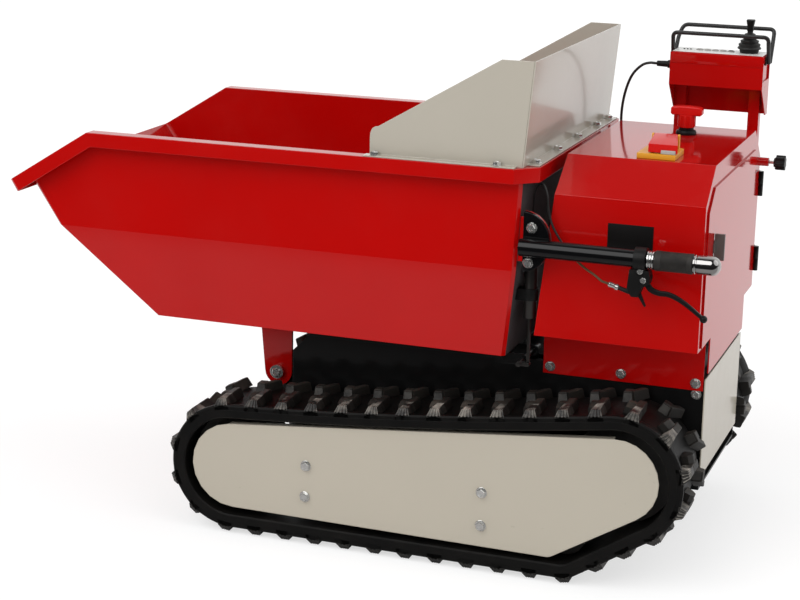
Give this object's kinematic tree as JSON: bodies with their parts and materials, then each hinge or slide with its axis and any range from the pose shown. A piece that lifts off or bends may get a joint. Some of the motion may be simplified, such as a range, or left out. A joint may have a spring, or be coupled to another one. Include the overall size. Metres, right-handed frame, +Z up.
{
  "type": "electric power barrow",
  "caption": "Battery tracked mini dumper with a forward tipping steel skip, spill guards, side handle with release lever, hood with battery door and a joystick control box.",
  "frame": {"origin": "on the ground, under the middle of the machine's overall box", "axes": "+X forwards to the dumping lip, +Y to the machine's left, +Z up"},
  "size_m": [1.646, 0.792, 1.156],
  "materials": {
    "red_paint": "gloss red powder coat on sheet steel",
    "grey_paint": "light grey powder coat on sheet steel",
    "black_paint": "satin black powder coat",
    "black_plastic": "moulded black plastic",
    "black_rubber": "matt black rubber",
    "red_plastic": "moulded red plastic",
    "yellow_plastic": "moulded yellow plastic",
    "zinc": "bright zinc plate",
    "chrome": "polished chrome",
    "cast_iron": "dark cast iron",
    "white_panel": "pale moulded box",
    "battery_case": "dark grey housing"
  },
  "bodies": {
    "chassis": {"chassis_frame": "black_paint", "track_beam_left": "black_paint", "track_beam_right": "black_paint", "track_belt_left": "black_rubber", "track_belt_right": "black_rubber", "track_cover_left": "grey_paint", "track_cover_right": "grey_paint", "gear_motor_left": "battery_case", "gear_motor_right": "battery_case", "battery_pack": "battery_case", "controller": "battery_case", "hood_shell": "red_paint", "hood_skirt": "red_paint", "rear_cover": "grey_paint", "hinge_upper": "black_paint", "hinge_lower": "black_paint", "switch_base": "yellow_plastic", "isolator_base": "black_plastic", "control_support": "red_paint", "control_box": "white_panel", "guard_bars": "black_paint", "control_cable": "black_rubber", "hood_gland": "black_plastic", "tipping_pin": "zinc"},
    "skip": {"skip_tub": "red_paint", "skip_subframe": "red_paint", "guard_left": "grey_paint", "guard_rear": "grey_paint", "guard_right": "grey_paint", "handle_bar": "black_paint", "handle_grip": "black_rubber", "bar_end": "chrome", "lever_perch": "black_plastic", "release_cable": "black_rubber", "latch_tube": "zinc"},
    "lever": {"release_lever": "black_plastic"},
    "rod": {"latch_rod": "zinc"},
    "hook": {"latch_hook": "zinc"},
    "drive_left": {"sprocket_left": "cast_iron"},
    "drive_right": {"sprocket_right": "cast_iron"},
    "idle_left": {"idler_left": "cast_iron"},
    "idle_right": {"idler_right": "cast_iron"},
    "door": {"battery_door": "red_paint"},
    "turn_latch": {"door_latch": "black_plastic"},
    "clamp_knob": {"star_knob": "black_plastic"},
    "stick_gimbal": {"joystick_cross": "zinc"},
    "stick": {"joystick_handle": "black_plastic"},
    "flap": {"switch_flap": "red_plastic"},
    "key": {"isolator_key": "red_plastic"},
    "roll_left_1": {"roller_left_1": "cast_iron"},
    "roll_left_2": {"roller_left_2": "cast_iron"},
    "roll_left_3": {"roller_left_3": "cast_iron"},
    "roll_right_1": {"roller_right_1": "cast_iron"},
    "roll_right_2": {"roller_right_2": "cast_iron"},
    "roll_right_3": {"roller_right_3": "cast_iron"},
    "press_1": {"button_1": "red_plastic"},
    "press_2": {"button_2": "red_plastic"},
    "press_3": {"button_3": "red_plastic"},
    "press_4": {"button_4": "red_plastic"},
    "press_5": {"button_5": "black_plastic"}
  },
  "joints": [
    {"name": "skip_tip", "type": "hinge", "parent": "chassis", "child": "skip", "pos_m": [0.256, 0, 0.322], "axis": [0, 1, 0], "range_deg": [0, 55]},
    {"name": "lever_pull", "type": "hinge", "parent": "skip", "child": "lever", "pos_m": [-0.652, 0.37, 0.688], "axis": [0, 1, 0], "range_deg": [0, 22], "stiffness_Nm_per_rad": 0.8, "springref_deg": -22.92},
    {"name": "rod_lift", "type": "slide", "parent": "skip", "child": "rod", "axis": [0, 0, 1], "range_m": [0, 0.0085]},
    {"name": "hook_turn", "type": "hinge", "parent": "skip", "child": "hook", "pos_m": [-0.372, 0.3, 0.455], "axis": [0, 1, 0], "range_deg": [0, 25.2]},
    {"name": "drive_left_spin", "type": "hinge", "parent": "chassis", "child": "drive_left", "pos_m": [-0.616, 0.306, 0.248], "axis": [0, 1, 0], "continuous": true},
    {"name": "idle_left_spin", "type": "hinge", "parent": "chassis", "child": "idle_left", "pos_m": [0.2683, 0.306, 0.16], "axis": [0, 1, 0], "continuous": true},
    {"name": "roll_left_1_spin", "type": "hinge", "parent": "chassis", "child": "roll_left_1", "pos_m": [-0.5, 0.306, 0.09], "axis": [0, 1, 0], "continuous": true},
    {"name": "roll_left_2_spin", "type": "hinge", "parent": "chassis", "child": "roll_left_2", "pos_m": [-0.2439, 0.306, 0.09], "axis": [0, 1, 0], "continuous": true},
    {"name": "roll_left_3_spin", "type": "hinge", "parent": "chassis", "child": "roll_left_3", "pos_m": [0.0122, 0.306, 0.09], "axis": [0, 1, 0], "continuous": true},
    {"name": "drive_right_spin", "type": "hinge", "parent": "chassis", "child": "drive_right", "pos_m": [-0.616, -0.306, 0.248], "axis": [0, 1, 0], "continuous": true},
    {"name": "idle_right_spin", "type": "hinge", "parent": "chassis", "child": "idle_right", "pos_m": [0.2683, -0.306, 0.16], "axis": [0, 1, 0], "continuous": true},
    {"name": "roll_right_1_spin", "type": "hinge", "parent": "chassis", "child": "roll_right_1", "pos_m": [-0.5, -0.306, 0.09], "axis": [0, 1, 0], "continuous": true},
    {"name": "roll_right_2_spin", "type": "hinge", "parent": "chassis", "child": "roll_right_2", "pos_m": [-0.2439, -0.306, 0.09], "axis": [0, 1, 0], "continuous": true},
    {"name": "roll_right_3_spin", "type": "hinge", "parent": "chassis", "child": "roll_right_3", "pos_m": [0.0122, -0.306, 0.09], "axis": [0, 1, 0], "continuous": true},
    {"name": "door_swing", "type": "hinge", "parent": "chassis", "child": "door", "pos_m": [-0.7668, -0.302, 0.7], "axis": [0, 0, 1], "range_deg": [0, 110]},
    {"name": "door_latch_turn", "type": "hinge", "parent": "door", "child": "turn_latch", "pos_m": [-0.7633, 0.222, 0.735], "axis": [1, 0, 0], "range_deg": [0, 90]},
    {"name": "clamp_knob_turn", "type": "hinge", "parent": "chassis", "child": "clamp_knob", "pos_m": [-0.797, -0.29, 0.828], "axis": [1, 0, 0], "continuous": true},
    {"name": "stick_sideways", "type": "hinge", "parent": "chassis", "child": "stick_gimbal", "pos_m": [-0.727, -0.265, 1.0903], "axis": [1, 0, 0], "range_deg": [-15, 15], "stiffness_Nm_per_rad": 0.6},
    {"name": "stick_fore_aft", "type": "hinge", "parent": "stick_gimbal", "child": "stick", "pos_m": [-0.727, -0.265, 1.0903], "axis": [0, 1, 0], "range_deg": [-15, 15], "stiffness_Nm_per_rad": 0.6},
    {"name": "button_1_press", "type": "slide", "parent": "chassis", "child": "press_1", "axis": [0, 0, -1], "range_m": [0, 0.0015], "stiffness_N_per_m": 600, "springref_m": -0.001},
    {"name": "button_2_press", "type": "slide", "parent": "chassis", "child": "press_2", "axis": [0, 0, -1], "range_m": [0, 0.0015], "stiffness_N_per_m": 600, "springref_m": -0.001},
    {"name": "button_3_press", "type": "slide", "parent": "chassis", "child": "press_3", "axis": [0, 0, -1], "range_m": [0, 0.0015], "stiffness_N_per_m": 600, "springref_m": -0.001},
    {"name": "button_4_press", "type": "slide", "parent": "chassis", "child": "press_4", "axis": [0, 0, -1], "range_m": [0, 0.0015], "stiffness_N_per_m": 600, "springref_m": -0.001},
    {"name": "button_5_press", "type": "slide", "parent": "chassis", "child": "press_5", "axis": [0, 0, -1], "range_m": [0, 0.0015], "stiffness_N_per_m": 600, "springref_m": -0.001},
    {"name": "flap_lift", "type": "hinge", "parent": "chassis", "child": "flap", "pos_m": [-0.64175, 0.137, 0.9465], "axis": [1, 0, 0], "range_deg": [0, 75]},
    {"name": "key_press", "type": "slide", "parent": "chassis", "child": "key", "axis": [0, 0, -1], "range_m": [0, 0.006]}
  ],
  "couplings": [
    {"joint": "rod_lift", "follows": "lever_pull", "m_per_rad": 0.0217},
    {"joint": "hook_turn", "follows": "lever_pull", "ratio": 1.136},
    {"joint": "idle_left_spin", "follows": "drive_left_spin", "ratio": 1},
    {"joint": "roll_left_1_spin", "follows": "drive_left_spin", "ratio": 2.8},
    {"joint": "roll_left_2_spin", "follows": "drive_left_spin", "ratio": 2.8},
    {"joint": "roll_left_3_spin", "follows": "drive_left_spin", "ratio": 2.8},
    {"joint": "idle_right_spin", "follows": "drive_right_spin", "ratio": 1},
    {"joint": "roll_right_1_spin", "follows": "drive_right_spin", "ratio": 2.8},
    {"joint": "roll_right_2_spin", "follows": "drive_right_spin", "ratio": 2.8},
    {"joint": "roll_right_3_spin", "follows": "drive_right_spin", "ratio": 2.8}
  ]
}
